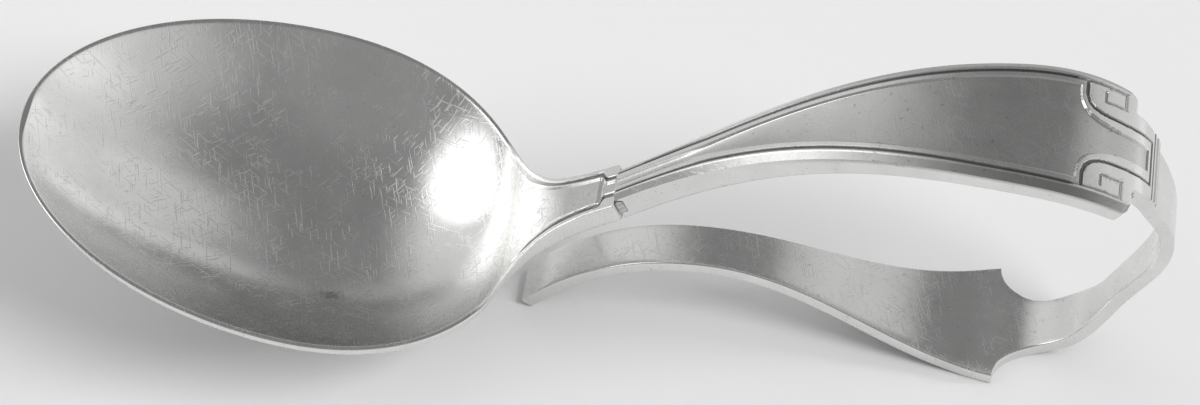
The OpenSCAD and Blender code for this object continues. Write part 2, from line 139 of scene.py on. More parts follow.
def distance_to(points, u, v):
    """Shortest distance from places (u, v) to a line through the points."""
    best = np.full(np.broadcast(u, v).shape, 1e9)
    for (ax, ay), (bx, by) in zip(points[:-1], points[1:]):
        dx, dy = bx - ax, by - ay
        t = np.clip(((u - ax) * dx + (v - ay) * dy) / (dx * dx + dy * dy), 0, 1)
        best = np.minimum(best, np.hypot(u - ax - t * dx, v - ay - t * dy))
    return best


def sunk(x, y, z, depth, lean):
    """Points that lie at a depth under the face, measured along a line that leans."""
    return np.stack([x + depth * math.sin(lean), y, z - depth * math.cos(lean)], 1)


def row_over_edge(x, z, lean, face, edge_and_back):
    """One row of a skin, from the middle of the face over the edge to the middle of the back.

    face holds half widths, depths, and tarnish with painted shade, from the edge to the middle.
    edge_and_back holds pairs of half width and depth."""
    y, depth, tarnish = face
    rest = np.array(edge_and_back)
    across = np.concatenate([y[::-1], rest[:, 0]])
    down = np.concatenate([depth[::-1], rest[:, 1]])
    return sunk(x, across, z, down, lean), np.concatenate([tarnish[::-1], np.zeros(len(rest))])


# ---- mesh helpers ----

WELD = 0.002 * MM


def active_object():
    return bpy.context.view_layer.objects.active


def deselect_all():
    if bpy.context.mode != "OBJECT":
        bpy.ops.object.mode_set(mode="OBJECT")
    bpy.ops.object.select_all(action="DESELECT")


def half_skin(name, rows, tarnish):
    """Lays a grid out as one half of a skin, row by row, mirrors it and closes its ends.

    rows is an array of rows x columns x 3 in millimetres, from the middle of the face over the
    edge to the middle of the back. tarnish holds how dark each point is drawn, from tarnish and,
    on the handle, painted shade."""
    count, across = rows.shape[:2]
    deselect_all()
    bpy.ops.mesh.primitive_grid_add(x_subdivisions=across - 1, y_subdivisions=count - 1, size=1.0)
    piece = active_object()
    piece.name = piece.data.name = name
    mesh = piece.data
    flat = np.empty(len(mesh.vertices) * 3)
    mesh.vertices.foreach_get("co", flat)
    flat = flat.reshape(-1, 3)
    i = np.rint((flat[:, 1] + 0.5) * (count - 1)).astype(int)
    j = np.rint((flat[:, 0] + 0.5) * (across - 1)).astype(int)
    placed = rows[i, j] * MM
    placed[:, 0] += SHIFT * MM
    mesh.vertices.foreach_set("co", placed.ravel())
    struck = mesh.attributes.new("struck", "FLOAT", "POINT")
    struck.data.foreach_set("value", tarnish[i, j])
    mesh.update()

    mirror = piece.modifiers.new("other half", "MIRROR")
    mirror.use_axis = (False, True, False)
    mirror.use_mirror_merge = True
    mirror.merge_threshold = WELD
    bpy.ops.object.modifier_apply(modifier=mirror.name)

    bpy.ops.object.mode_set(mode="EDIT")
    bpy.ops.mesh.select_all(action="SELECT")
    bpy.ops.mesh.remove_doubles(threshold=WELD)
    # Each open end is closed by a flat face of its own: the one within reach of its row's middle
    bpy.ops.mesh.select_mode(type="EDGE")
    for end in (rows[0], rows[-1]):
        bpy.ops.mesh.select_all(action="DESELECT")
        centre = Vector((end[:, 0].mean() + SHIFT, 0.0, end[:, 2].mean())) * MM
        reach = max((Vector((x + SHIFT, y, z)) * MM - centre).length for x, y, z in end) * 1.01
        shape = bmesh.from_edit_mesh(mesh)
        rim = [edge for edge in shape.edges if edge.is_boundary
               and all((v.co - centre).length < reach for v in edge.verts)]
        for edge in rim:
            edge.select_set(True)
        bmesh.update_edit_mesh(mesh)
        if rim:
            bpy.ops.mesh.edge_face_add()
    bpy.ops.mesh.select_mode(type="VERT")
    bpy.ops.mesh.select_all(action="SELECT")
    bpy.ops.mesh.normals_make_consistent(inside=False)
    bpy.ops.object.mode_set(mode="OBJECT")
    return piece


def finish_piece(piece, node, material, angle=32.0):
    """Smooths a finished piece, dresses it, and lets it stand for its CAD node."""
    deselect_all()
    piece.select_set(True)
    bpy.context.view_layer.objects.active = piece
    bpy.ops.object.shade_smooth_by_angle(angle=math.radians(angle))
    piece.data.materials.append(material)
    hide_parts(node)
    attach(piece, "root")


# ---- colours and materials ----

def colour(hex_code):
    """Turns an sRGB hex colour into Blender's linear one."""
    out = []
    for k in (1, 3, 5):
        c = int(hex_code[k:k + 2], 16) / 255
        out.append(c / 12.92 if c <= 0.04045 else ((c + 0.055) / 1.055) ** 2.4)
    return (*out, 1.0)


def add_node(tree, kind, settings=None, values=None, links=None, stops=()):
    """Adds one node with its settings, its sockets' values, its incoming links and, for a ramp,
    its two stops, each a place with a colour or a grey."""
    node = tree.nodes.new(kind)
    for key, value in (settings or {}).items():
        setattr(node, key, value)
    for key, value in (values or {}).items():
        node.inputs[key].default_value = value
    for key, source in (links or {}).items():
        tree.links.new(source, node.inputs[key])
    if stops:
        for stop, (place, value) in zip(node.color_ramp.elements, stops):
            stop.position = place
            stop.color = value if isinstance(value, tuple) else (value, value, value, 1.0)
    return node


def empty_material(name):
    """A new material and its node tree, with nothing in it."""
    material = bpy.data.materials.new(name)
    material.use_nodes = True
    material.node_tree.nodes.clear()
    return material, material.node_tree


# Three sets of scratches: heading in radians, and the scale of their noise per metre, which makes
# them 1 to 3 mm long. They are drawn 0.07 mm wide, which is as fine as the render shows.
SCRATCH_SETS = (
    (0.35, (700, 7200, 700)),
    (-0.75, (900, 6600, 900)),
    (1.3, (600, 7600, 700)),
)

# The old stain on the bowl's near wall: minus its place in metres, and its scale per metre, for a
# ragged spot about 3 mm long
STAIN_OFFSET, STAIN_SCALE = (0.0214, 0.0055, -0.0044), (300, 700, 400)


def old_silver(name, look, scratch=1.0, dimple=1.0, stained=False):
    """Sterling silver, die struck or forged, then polished and worn by years of hand washing: a
    bright, slightly blurred mirror with short fine scratches, soft dents, small pits, and darker
    tarnish in struck lines, with painted shade where a piece's struck attribute carries it."""
    material, tree = empty_material(name)
    place = add_node(tree, "ShaderNodeTexCoord").outputs["Object"]

    # Soft dents and planishing waves, about 1.6 mm and 5 mm across
    dents = add_node(tree, "ShaderNodeTexNoise",
                     values={"Scale": 620.0, "Detail": 2.0, "Roughness": 0.5},
                     links={"Vector": place}).outputs["Fac"]
    waves = add_node(tree, "ShaderNodeTexNoise", values={"Scale": 190.0, "Detail": 1.0},
                     links={"Vector": place}).outputs["Fac"]

    # Fine scratches, which come in patches about 3 mm across
    scratches = None
    for turn, scale in SCRATCH_SETS:
        turned = add_node(tree, "ShaderNodeMapping", values={"Rotation": (0, 0, turn)},
                          links={"Vector": place}).outputs["Vector"]
        long_way = add_node(tree, "ShaderNodeMapping", values={"Scale": scale},
                            links={"Vector": turned}).outputs["Vector"]
        noise = add_node(tree, "ShaderNodeTexNoise",
                         values={"Scale": 1.0, "Detail": 0.0, "Distortion": 0.5},
                         links={"Vector": long_way}).outputs["Fac"]
        strokes = add_node(tree, "ShaderNodeValToRGB", links={"Fac": noise},
                           stops=((0.67, 0.0), (0.76, 1.0))).outputs["Color"]
        if scratches:
            strokes = add_node(tree, "ShaderNodeMath", {"operation": "MAXIMUM"},
                               links={0: scratches, 1: strokes}).outputs[0]
        scratches = strokes
    patches = add_node(tree, "ShaderNodeTexNoise", values={"Scale": 330.0, "Detail": 2.0},
                       links={"Vector": place}).outputs["Fac"]
    patchy = add_node(tree, "ShaderNodeValToRGB", links={"Fac": patches},
                      stops=((0.38, 0.3), (0.6, 1.0))).outputs["Color"]
    scratches = add_node(tree, "ShaderNodeMath", {"operation": "MULTIPLY"},
                         links={0: scratches, 1: patchy}).outputs[0]

    # Small pits, about 0.2 mm across
    grains = add_node(tree, "ShaderNodeTexNoise", values={"Scale": 2600.0, "Detail": 1.0},
                      links={"Vector": place}).outputs["Fac"]
    pits = add_node(tree, "ShaderNodeValToRGB", links={"Fac": grains},
                    stops=((0.67, 0.0), (0.76, 0.2 * dimple))).outputs["Color"]

    # Tarnish: in the struck lines, and as a faint cloud over the rest, about 4 mm across. The
    # struck attribute also carries painted shade on the handle's bevel and at the tongue's end.
    struck = add_node(tree, "ShaderNodeAttribute", {"attribute_name": "struck"}).outputs["Fac"]
    cloud = add_node(tree, "ShaderNodeTexNoise",
                     values={"Scale": 260.0, "Detail": 4.0, "Roughness": 0.6},
                     links={"Vector": place}).outputs["Fac"]
    clouded = add_node(tree, "ShaderNodeValToRGB", links={"Fac": cloud},
                       stops=((0.25, colour(look.silver_shade)),
                              (0.75, colour(look.silver_colour)))).outputs["Color"]
    tarnish_and_shade = add_node(tree, "ShaderNodeMath",
                        {"operation": "MULTIPLY_ADD", "use_clamp": True},
                        {1: look.tarnish}, {0: struck, 2: pits}).outputs[0]
    metal = add_node(tree, "ShaderNodeMix", {"data_type": "RGBA"},
                     {7: colour(look.tarnish_and_shade_colour)}, {0: tarnish_and_shade, 6: clouded}).outputs[2]
    if stained:
        spot = add_node(tree, "ShaderNodeMapping", values={"Location": STAIN_OFFSET},
                        links={"Vector": place}).outputs["Vector"]
        stretched = add_node(tree, "ShaderNodeMapping", values={"Scale": STAIN_SCALE},
                             links={"Vector": spot}).outputs["Vector"]
        far = add_node(tree, "ShaderNodeVectorMath", {"operation": "LENGTH"},
                       links={0: stretched}).outputs["Value"]
        # The pits' noise makes the spot's edge ragged and its inside mottled
        ragged = add_node(tree, "ShaderNodeMath", {"operation": "ADD"},
                          links={0: far, 1: grains}).outputs[0]
        mark = add_node(tree, "ShaderNodeValToRGB", links={"Fac": ragged},
                        stops=((0.55, 0.42), (0.95, 0.0))).outputs["Color"]
        metal = add_node(tree, "ShaderNodeMix", {"data_type": "RGBA"},
                         {7: colour(look.tarnish_and_shade_colour)}, {0: mark, 6: metal}).outputs[2]

    # The polish, with rougher scratches, tarnish and painted shade
    rough = add_node(tree, "ShaderNodeMapRange",
                     values={1: 0.3, 2: 0.7, 3: look.polish - 0.02, 4: look.polish + 0.03},
                     links={0: cloud}).outputs[0]
    for source, rougher in ((scratches, 0.12 * scratch), (tarnish_and_shade, 0.25)):
        rough = add_node(tree, "ShaderNodeMath", {"operation": "MULTIPLY_ADD"},
                         {1: rougher}, {0: source, 2: rough}).outputs[0]

    bump = add_node(tree, "ShaderNodeBump",
                    values={"Strength": 0.35 * dimple, "Distance": 0.04 * MM},
                    links={"Height": dents}).outputs["Normal"]
    bump = add_node(tree, "ShaderNodeBump",
                    values={"Strength": 0.5 * dimple, "Distance": 0.06 * MM},
                    links={"Height": waves, "Normal": bump}).outputs["Normal"]
    bump = add_node(tree, "ShaderNodeBump", {"invert": True},
                    {"Strength": 0.3 * scratch, "Distance": 0.012 * MM},
                    {"Height": scratches, "Normal": bump}).outputs["Normal"]
    shader = add_node(tree, "ShaderNodeBsdfPrincipled", values={"Metallic": 1.0},
                      links={"Base Color": metal, "Roughness": rough, "Normal": bump})
    add_node(tree, "ShaderNodeOutputMaterial", links={"Surface": shader.outputs["BSDF"]})
    return material


def silver_solder(look):
    """Silver solder, run in with a torch and left unpolished: a dull grey fillet with tarnish in
    it, in grains of about 0.3 mm."""
    material, tree = empty_material("silver_solder_run_in")
    place = add_node(tree, "ShaderNodeTexCoord").outputs["Object"]
    grain = add_node(tree, "ShaderNodeTexNoise", values={"Scale": 3000.0, "Detail": 3.0},
                     links={"Vector": place}).outputs["Fac"]
    tint = add_node(tree, "ShaderNodeValToRGB", links={"Fac": grain},
                    stops=((0.25, colour(look.solder_shade)),
                           (0.6, colour(look.solder_colour)))).outputs["Color"]
    bump = add_node(tree, "ShaderNodeBump", values={"Strength": 0.4, "Distance": 0.03 * MM},
                    links={"Height": grain}).outputs["Normal"]
    shader = add_node(tree, "ShaderNodeBsdfPrincipled",
                      values={"Metallic": 1.0, "Roughness": 0.45},
                      links={"Base Color": tint, "Normal": bump})
    add_node(tree, "ShaderNodeOutputMaterial", links={"Surface": shader.outputs["BSDF"]})
    return material


def matt_board(look):
    """Painted board, which is plain and matt."""
    material, tree = empty_material("matt_board_painted")
    shader = add_node(tree, "ShaderNodeBsdfPrincipled",
                      values={"Base Color": colour(look.floor_colour), "Roughness": 0.7,
                              "Specular IOR Level": 0.3})
    add_node(tree, "ShaderNodeOutputMaterial", links={"Surface": shader.outputs["BSDF"]})
    return material


# ---- bowl and shank ----

# Rows from the bowl's tip to its widest place, and how much they crowd towards the tip
NOSE_ROWS, NOSE_CROWDING = 75, 1.08
# The middle columns of those rows start this far in from the tip
NOSE_MIDDLE = 6.0
# How the hollow deepens with its width, and how full it is across
DISH_ALONG, DISH_ACROSS = 1.7, 2.3
# The fillet in the crook, and rounded edges: at the rim, at its flat's inner side and underneath
CROOK_FILLET, RIM_ROUND, LAND_ROUND, UNDER_ROUND, UNDER_DROP = 0.7, 0.14, 0.09, 0.3, 0.28
# The shank's struck line: its distance from the edge and half width, before and after its step
LINE_FROM_EDGE, LINE_STEPPED, LINE_WIDE, LINE_NARROW, LINE_SLOPE = 0.6, 1.27, 0.12, 0.1, 0.09
# How far past the line its ridge, the panel's edge and the panel's dulled part begin
RIDGE_AT, SHANK_PANEL_AT, DULL_AT = 0.3, 0.36, 0.4
RIDGE_HEIGHT, SHANK_PANEL_DEPTH = 0.03, 0.09
# The line across the shank: its half width, its slope, where it ends, and its share of the depth
CROSS_HALF, CROSS_SLOPE, CROSS_FROM_EDGE, CROSS_SHARE = 0.09, 0.14, 0.45, 0.4
# Columns follow the edge up to this far in, and take at most this share of half the shank
FOLLOWING_TO, FOLLOWING_SHARE = 1.74, 0.72
# Distance from the edge that stands for all columns past those
FAR_IN = 9.0
# Columns near the edge that the underside needs
UNDER_COLUMNS = [0, 1, 2, 3, 4, 6, 8, 12, 16, 22, 28, 34]


def outline_rows():
    """Half of the outline seen from above, from the bowl's tip to the shoulder, as x and half
    width."""
    a = np.radians(90 * (np.arange(0, NOSE_ROWS + 1) / NOSE_ROWS) ** NOSE_CROWDING)
    xs = [WIDEST_X + (TIP_X - WIDEST_X) * np.cos(a)]
    ws = [BOWL_WIDTH / 2 * np.sin(a)]
    widest = (WIDEST_X, BOWL_WIDTH / 2, 0.0)
    heel = (HEEL_X, HEEL_WIDTH / 2, -60.0)
    neck = (-SHANK_LENGTH, NECK_WIDTH / 2, -12.0)
    nub = (-0.36, SHANK_WIDTH / 2, 0.0)
    for p, q, n in ((widest, heel, 40), (heel, neck, 34), (neck, nub, 56)):
        x, w, _ = curve(p, q, np.arange(1, n + 1) / n)
        xs.append(x)
        ws.append(w)
    # The shank's end has its corners rounded
    xs.append(np.array([-0.24, -0.14, -0.07, -0.025, 0.0]))
    ws.append(np.array([0.0, -0.03, -0.075, -0.15, -0.24]) + SHANK_WIDTH / 2)
    return np.concatenate(xs), np.concatenate(ws)


def inward(x, w):
    """Directions in from the outline: square to it round the bowl, straight across at the shank."""
    nx, ny = np.gradient(w), -np.gradient(x)
    nx[0], ny[0] = 1.0, 0.0
    blend = smooth((x + 8.0) / 4.0)
    nx, ny = nx * (1 - blend), mix(ny / np.hypot(nx, ny), -1.0, blend)
    size = np.hypot(nx, ny)
    return nx / size, ny / size


def rim_height(x):
    """Height of the face at the rim and along the shank, with a fillet where the two meet."""
    rim = HEEL_Z - math.tan(math.radians(BOWL_PITCH)) * (x - HEEL_X)
    shank = SHOULDER_Z + math.tan(math.radians(SHANK_RISE)) * x - SHANK_BEND * x * x
    fillet = CROOK_FILLET * smooth(-x / SHANK_LENGTH)
    return (rim + shank + np.sqrt((rim - shank) ** 2 + fillet * fillet)) / 2


def bowl_skin():
    """Rows of the bowl and its shank, from the bowl's tip to the shoulder, and their tarnish."""
    x, w = outline_rows()
    nx, ny = inward(x, w)

    # The inner edge of the rim's flat, and how wide the hollow is at each x
    inner_x, inner_w = x + RIM_LAND * nx, w + RIM_LAND * ny
    order = np.argsort(inner_x)
    full = BOWL_WIDTH / 2 - RIM_LAND
    least = (SHANK_WIDTH / BOWL_WIDTH) ** DISH_ALONG

    def dish(px, py):
        half = np.interp(px, inner_x[order], inner_w[order], left=0.0)
        deep = np.maximum(BOWL_DEPTH * ((half / full) ** DISH_ALONG - least), 0)
        return deep * np.maximum(0, 1 - (np.abs(py) / np.maximum(half, 0.05)) ** DISH_ACROSS)

    # Columns: offsets in from the outline, then shares of the way to the middle
    offsets = np.concatenate([np.linspace(0, RIM_ROUND, 5), np.arange(0.18, FOLLOWING_TO, 0.045)])
    shares = np.linspace(0, 1, 42)[1:] ** 0.9
    heel_to_neck = -SHANK_LENGTH - HEEL_X
    rows, marks = [], []
    for k in range(len(x)):
        past_widest = x[k] > WIDEST_X
        reach = min(1.0, w[k] * FOLLOWING_SHARE / offsets[-1]) if past_widest else 1.0
        e = offsets * reach
        ox, oy = x[k] + e * nx[k], w[k] + e * ny[k]
        mid_x = x[k] if past_widest else mix(TIP_X + NOSE_MIDDLE, WIDEST_X, k / NOSE_ROWS)
        px = np.concatenate([ox, mix(ox[-1], mid_x, shares)])
        py = np.maximum(np.concatenate([oy, mix(oy[-1], 0.0, shares)]), 0.0)
        edge = np.concatenate([e, np.full(len(shares), FAR_IN)])
        near = edge < FAR_IN
        # The flat of the rim turns into the hollow over a small rounded edge
        past_land = edge - RIM_LAND
        soft = RIM_LAND + (past_land + np.sqrt(past_land ** 2 + LAND_ROUND ** 2)) / 2
        hollow = dish(np.where(near, x[k] + soft * nx[k], px),
                      np.where(near, np.maximum(w[k] + soft * ny[k], 0), py))
        base = dish(px, py)

        # Bowl becomes shank between the heel and the neck
        share = smooth((x[k] - HEEL_X + 1) / (heel_to_neck + 1))
        lean = math.radians(JOINT_LEAN) * smooth(1 + x[k] / SHANK_LENGTH)
        full_gauge = SHANK_GAUGE / math.cos(math.radians(SHANK_RISE) - lean)
        thick = mix(BOWL_GAUGE, full_gauge, share)
        rim = mix(RIM_GAUGE, full_gauge, share)

        # Struck lines of the shank, which step inward just before the shoulder
        from_edge = np.where(near, edge, w[k] - py)
        stepped = smooth((x[k] - CROSS_X) / 0.5)
        past_line = from_edge - mix(LINE_FROM_EDGE, LINE_STEPPED, stepped)
        lines = share * trough(past_line, mix(LINE_WIDE, LINE_NARROW, stepped), LINE_SLOPE)
        ridge = share * trough(past_line - RIDGE_AT, 0.03, 0.1)
        panel = share * smooth((past_line - SHANK_PANEL_AT) / 0.2)
        cross = (share * trough(x[k] - CROSS_X, CROSS_HALF, CROSS_SLOPE)
                 * smooth((from_edge - CROSS_FROM_EDGE) / 0.12))
        deep = (hollow + round_over(edge, RIM_ROUND, RIM_ROUND)
                + GROOVE_DEPTH * np.maximum(lines, CROSS_SHARE * cross)
                - RIDGE_HEIGHT * ridge + SHANK_PANEL_DEPTH * panel)
        height = rim_height(px)
        top = sunk(px, py, height, deep, lean)
        dull_panel = 0.3 * panel * (past_line > DULL_AT)
        mark = np.clip(np.maximum(lines, 0.35 * cross) + dull_panel, 0, 1)

        # The wall, rounded into the underside
        gauge = mix(thick, rim, np.clip(py / max(w[k], 0.05), 0, 1) ** 4)
        under_deep = base + gauge - round_over(edge, UNDER_ROUND, UNDER_DROP)
        under = sunk(px, py, height, under_deep, lean)
        wall = np.stack([mix(top[0], under[0], t) for t in (0.25, 0.5, 0.75)])
        ring = np.concatenate([top[::-1], wall, under[UNDER_COLUMNS], under[len(offsets) - 1:]])
        rows.append(ring)
        marks.append(np.concatenate([mark[::-1], np.zeros(len(ring) - len(mark))]))
    return np.array(rows), np.array(marks)


# ---- handle ----

# Distances in from the handle's edge: the bevel's foot, the groove's middle, the panel's edge and
# the whole border
BEVEL_WIDTH, GROOVE_AT, PANEL_AT, BORDER = 0.58, 0.92, 1.42, 1.6
GROOVE_HALF, GROOVE_SLOPE, PANEL_SLOPE = 0.08, 0.1, 0.16
# Lines struck at the tip: distance back from the ends of the lobes, and distance from the middle
BEAD_LINE = [(4.62, 6.5), (4.62, 3.9), (4.5, 3.1), (4.2, 2.5), (3.7, 2.05), (3.1, 1.74),
             (2.3, 1.5), (1.2, 1.32), (0.0, 1.26), (-1.6, 1.16), (-1.6, 0.0)]
TURN_LINE = [(4.27, 4.95), (4.27, 3.7), (4.05, 3.02), (3.6, 2.55), (3.0, 2.28), (2.2, 2.14),
             (1.0, 2.08), (-1.88, 2.02), (-1.88, 0.0)]
KEY_LINE = [(9.0, 5.02), (0.92, 4.98), (0.92, 3.46), (2.72, 3.46), (2.72, 4.42)]
# The tip's lines take over from the border's this far back. Further back than BORDER_FROM the tip's
# panel keeps the border's edge too.
TIP_FROM, BORDER_FROM = 5.3, 4.7
# The key is struck less deep than the other lines, and its pad lies low between these places
KEY_SHARE, PAD_BACK, PAD_Y, PAD_DEPTH = 0.7, (1.1, 2.55), (3.65, 4.8), 0.06
# Places along the tongue, from the ends of the lobes: its step, its bands and its thin end
TONGUE_STEP, TONGUE_BANDS, TONGUE_THIN = 1.95, (2.38, 2.86), 3.2
STEP_DEPTH, BAND_HEIGHT, THIN_DEPTH = 0.08, 0.1, 0.12
# The half width from which, and over how much of it, the columns change from shares of the width
# to real distances from the edge
WIDE_FROM, WIDE_BLEND = 4.6, 0.9
# Rows lean as the shoulder does at first, and stand square to the handle past LEAN_RUN. The gauge
# falls from TAPER_FROM over TAPER_RUN.
LEAN_RUN, TAPER_FROM, TAPER_RUN = 6, 7, 26
# Rounded edges: at the back, at the lobes' corners in plan, and at the ends of lobes and tongue
BACK_ROUND, LOBE_ROUND, END_ROUND = 0.25, 0.6, 0.12
# Spacing of rows and columns where lines are struck
FINE = 0.055
# Points from the face's edge to the middle of the back
BACK_POINTS = 12


def handle_half(x):
    """Half the handle's width, which swells towards the tip and tapers a little at its lobes."""
    swell = mix(WAIST_WIDTH / 2, TIP_WIDTH / 2, smooth(x / SWELL_X))
    past_swell = np.maximum(0, (x - SWELL_X) / (LOBE_END[0] - SWELL_X))
    return swell - TIP_TAPER / 2 * past_swell ** 2


def struck_depth(back, y, edge, half):
    """Depth below the thread, and how dark the point is drawn, from tarnish and painted shade.

    back is the distance back from the ends of the lobes, y the distance from the middle, edge the
    distance in from the edge and half the handle's half width."""
    bevel = BEVEL_DEPTH * np.clip(1 - edge / BEVEL_WIDTH, 0, 1)
    # Along the handle: thread, groove and bead
    groove = trough(edge - GROOVE_AT, GROOVE_HALF, GROOVE_SLOPE)
    panel = smooth((edge - PANEL_AT) / PANEL_SLOPE)
    # Round the tip: the same lines turn inward, and each lobe has a square key
    tip = smooth((TIP_FROM - back) / 0.5)
    key_cut = KEY_SHARE * trough(distance_to(KEY_LINE, back, y), 0.05, 0.1)
    cut = np.maximum(trough(distance_to(TURN_LINE, back, y), GROOVE_HALF, GROOVE_SLOPE), key_cut)
    bead = distance_to(BEAD_LINE, back, y)
    line_back, line_y = np.array(BEAD_LINE)[::-1].T
    inside = y < np.interp(back, line_back[1:], line_y[1:], left=-1.0, right=9.0)
    tip_panel = inside * (back > line_back[0]) * smooth((bead - 0.12) / 0.14)
    if back > BORDER_FROM:
        tip_panel = tip_panel * panel
    groove = mix(groove, cut, tip)
    panel = mix(panel, tip_panel, tip)
    across = np.clip(y / np.maximum(half - 1.5, 0.3), 0, 1)
    dish = PANEL_DISH * (1 - across ** 2) * smooth(back / 2.5)
    pad = tip * (PAD_BACK[0] < back < PAD_BACK[1]) * ((y > PAD_Y[0]) & (y < PAD_Y[1]))
    # Raised bands across the end of the tongue
    bands = np.maximum(*[trough(back + at, 0.1, 0.08) for at in TONGUE_BANDS])
    depth = (bevel + GROOVE_DEPTH * groove + PAD_DEPTH * pad + panel * (PANEL_DEPTH + dish)
             + STEP_DEPTH * smooth((-back - TONGUE_STEP) / 0.1) - BAND_HEIGHT * bands
             + THIN_DEPTH * smooth((-back - TONGUE_THIN) / 0.2))
    # The bevel is painted darker where the handle is wide: painted shade in place of the bright
    # reflection it would show there
    bevel_painted_shade = 0.7 * smooth((0.62 - edge) / 0.1) * smooth((half - 2.2) / 2)
    # Past 3.05 mm the tongue's end is painted dark: painted shade where it lies on the strap
    mark = (groove - 0.35 * key_cut * tip + bevel_painted_shade + 0.28 * panel
            + 0.6 * smooth((-back - 3.05) / 0.1))
    return depth, np.clip(mark, 0, 1)


def handle_skin():
    """Rows of the handle, from the shoulder to the end of the tongue, and their tarnish and painted
    shade.
    """
    lobe = float(handle_half(LOBE_END[0]))
    side = TONGUE_WIDTH / 2
    # Columns: places in from the edge, of which the inner ones run on along the tongue
    outer = np.concatenate([np.arange(0, lobe - side, FINE), [lobe - side + 0.001]])
    inner = np.concatenate([np.arange(side - 0.03, 0.03, -FINE), [0.0]])
    e = np.concatenate([outer, lobe - inner])
    run = math.hypot(LOBE_END[0] - ARCH[0], LOBE_END[1] - ARCH[1])
    length = math.hypot(TONGUE_END[0] - LOBE_END[0], TONGUE_END[1] - LOBE_END[1])

    # Rows: even ones over the arch, close ones where the tip is struck
    backs = np.concatenate([np.linspace(run, 5.5, 18)[1:-1], np.arange(5.5, 0.3, -FINE),
                            [0.3, 0.24, 0.18, 0.12, 0.07, 0.03, 0.0]])
    stations = [(*station(SHOULDER, ARCH, t), run + 1.0) for t in np.linspace(0, 1, 84)]
    stations += [(*station(ARCH, LOBE_END, 1 - b / run), float(b)) for b in backs]
    rows, marks = [], []
    for x, z, heading, back in stations:
        half = float(handle_half(x))
        # Where the handle is narrow the border is squeezed. Where it is wide, columns keep their
        # real distance from the edge.
        squeeze = min(1.0, (half - 0.4) / BORDER)
        flat = half - squeeze * BORDER
        y = np.where(e <= BORDER, half - squeeze * e,
                     flat * (1 - (e - BORDER) / (lobe - BORDER)))
        y = mix(y, np.maximum(half - e, 0), float(smooth((half - WIDE_FROM) / WIDE_BLEND)))
        y[-1] = 0.0
        depth, mark = struck_depth(back, y, (half - y) / squeeze, half)
        corner = round_over(back, LOBE_ROUND, LOBE_ROUND)
        y = y - corner * np.clip(1 - (half - y) / BORDER, 0, 1)
        depth = depth + round_over(back, END_ROUND, END_ROUND) * (y > side + 0.05)
        lean = mix(math.radians(JOINT_LEAN), heading, min(1.0, x / LEAN_RUN))
        taper = float(smooth((x - TAPER_FROM) / TAPER_RUN))
        gauge = mix(HANDLE_GAUGE, TIP_GAUGE, taper) / math.cos(heading - lean)
        turn = y[0] - BACK_ROUND
        wall = [(y[0], mix(depth[0], gauge - BACK_ROUND, t)) for t in (0.3, 0.6, 0.85)]
        wall += [(turn + BACK_ROUND * math.cos(a), gauge - BACK_ROUND * (1 - math.sin(a)))
                 for a in np.radians([0, 22, 45, 68, 90])]
        wall += [(turn * t, gauge) for t in (0.75, 0.5, 0.25, 0.0)]
        row, tarnish = row_over_edge(x, z, lean, (y, depth, mark), wall)
        rows.append(row)
        marks.append(tarnish)

    # The tongue: the inner columns run on, and all the others go round its side and back
    steps = np.concatenate([[0.0, 0.03], np.arange(0.08, length - 0.12, FINE),
                            [length - 0.1, length - 0.04, length]])
    for step in steps:
        t = step / length
        x, z, heading = station(LOBE_END, TONGUE_END, t)
        half = mix(side, TONGUE_END_WIDTH / 2, t)
        y = inner * mix(1.0, half / side, float(smooth(step / 1.5)))
        # No column of the tongue comes near the handle's border
        depth, mark = struck_depth(-step, y, np.full_like(y, 2 * BORDER), half)
        depth = (depth + round_over(length - step, END_ROUND, END_ROUND)
                 + round_over(y[0] - y, END_ROUND, 0.1) * smooth(step / 0.1))
        wall = [(half, mix(depth[0], TONGUE_GAUGE, d)) for d in np.linspace(0, 1, 12)[1:]]
        wall += [(half, TONGUE_GAUGE)] * (len(outer) + BACK_POINTS - 4 - len(wall))
        wall += [(half * s, TONGUE_GAUGE) for s in (0.75, 0.5, 0.25, 0.0)]
        row, tarnish = row_over_edge(x, z, heading, (y, depth, mark), wall)
        rows.append(row)
        marks.append(tarnish)
    return np.array(rows), np.array(marks)


# ---- loop strap ----

STRAP_ROUND = 0.16
# How quickly the flare narrows towards the saddle, and the share of that within the rest
FLARE_SWEEP, FLARE_AT_REST = 1.9, 0.03
# The strap has widened by this factor where the flare's fillet begins
FILLET_START = 1.5
# Places across the strap's face, as shares of its flat
FACE_SHARES = (0.0, 0.2, 0.4, 0.6, 0.8, 0.92, 1.0)
# The flare's face is drawn darker below DARKEN_TOP: from DULL_START on, fully from DULL_FULL to
# DULL_END, and no more at DARKEN_GONE
DULL_START, DULL_FULL, DULL_END, DARKEN_GONE, DARKEN_TOP, FLARE_DARKENING = 14, 28, 35, 38, 8, 0.8


def fillet_half(x):
    """Half width where the narrow strap opens into the flare by a fillet."""
    open_to = float(round_over(x - FLARE_X, FLARE_FILLET, 1.0))
    return mix(STRAP_NARROW * FILLET_START, FLARE_WIDTH, open_to) / 2


def heel_half(t, x):
    """Half width from the narrowest place to the flare."""
    if x > FLARE_X + FLARE_FILLET:
        return STRAP_NARROW * mix(1.0, FILLET_START, float(smooth(t / 0.55))) / 2
    return fillet_half(x)


def flare_half(share):
    """Half width of the flare, at a share of the way to the saddle."""
    return mix(SADDLE_WIDTH, FLARE_WIDTH, max(0.0, 1 - share) ** FLARE_SWEEP) / 2


